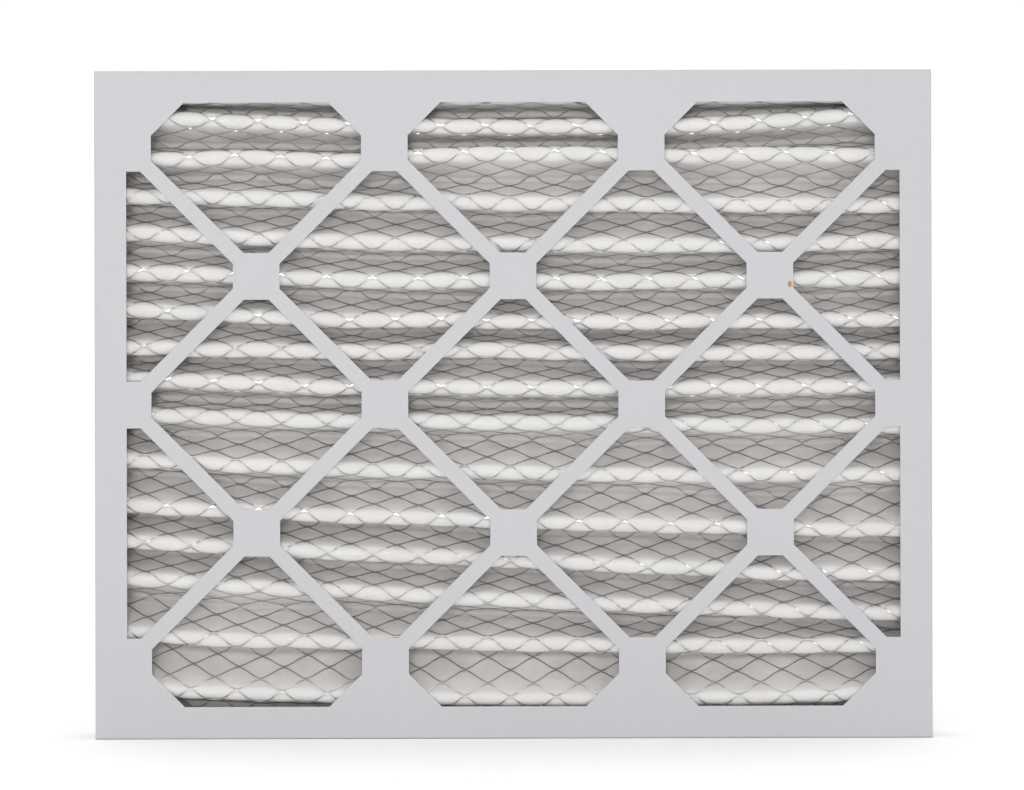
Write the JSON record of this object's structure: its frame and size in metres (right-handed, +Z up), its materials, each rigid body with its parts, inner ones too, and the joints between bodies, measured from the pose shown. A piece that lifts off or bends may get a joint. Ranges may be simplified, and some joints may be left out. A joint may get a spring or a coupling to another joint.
{
  "type": "pleated panel air filter",
  "caption": "Rectangular panel air filter: pleated white media on an expanded metal grid, held in a folded board frame with diagonal straps over windows on both faces.",
  "frame": {"origin": "middle of the bottom long edge, on the surface the panel stands on", "axes": "+X along the width and the pleats, +Y from the downstream face with the metal grid to the upstream face, +Z up the height"},
  "size_m": [0.6286, 0.0444, 0.5016],
  "materials": {
    "frame_board": "matte coated board",
    "media": "fibrous non-woven",
    "grid_metal": "galvanised, dull",
    "glue": "satin"
  },
  "bodies": {
    "root": {"downstream_tray": "frame_board", "upstream_tray": "frame_board", "pleated_media": "media", "expanded_metal_grid": "grid_metal", "left_end_glue": "glue", "right_end_glue": "glue", "top_edge_glue": "glue", "bottom_edge_glue": "glue"}
  },
  "joints": []
}
